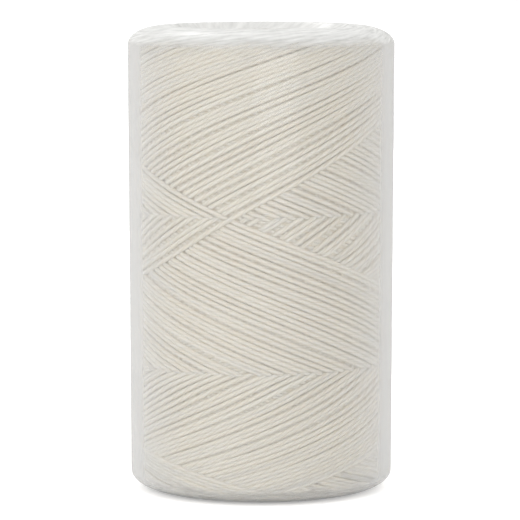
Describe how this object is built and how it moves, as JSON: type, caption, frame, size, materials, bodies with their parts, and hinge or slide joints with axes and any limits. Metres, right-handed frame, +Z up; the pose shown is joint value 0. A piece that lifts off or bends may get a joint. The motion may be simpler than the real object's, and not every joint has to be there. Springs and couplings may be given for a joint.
{
  "type": "waxed thread spool",
  "caption": "Cross-wound roll of waxed thread on a hollow paper tube, in a clear shrink sleeve with rounded shoulders.",
  "frame": {"origin": "centre of the base, on the plane of the flat ring that the roll stands on", "axes": "+Z up along the tube's axis; -Y is the side with the crossing of the newest turns"},
  "size_m": [0.076, 0.076, 0.1335],
  "materials": {
    "liner_paper": "smooth uncoated kraft paper",
    "core_board": "grey-brown paperboard, cut edge",
    "cover_paper": "smooth parchment-finished paper",
    "waxed_thread": "natural white thread with a soft wax sheen",
    "clear_film": "clear glossy shrink film"
  },
  "bodies": {
    "root": {"core_liner_ply": "liner_paper", "core_inner_board": "core_board", "core_outer_board": "core_board", "core_cover_ply": "cover_paper", "thread_start_tail": "waxed_thread", "thread_inner_layers": "waxed_thread", "thread_outer_winding": "waxed_thread", "shrink_sleeve": "clear_film"}
  },
  "joints": []
}
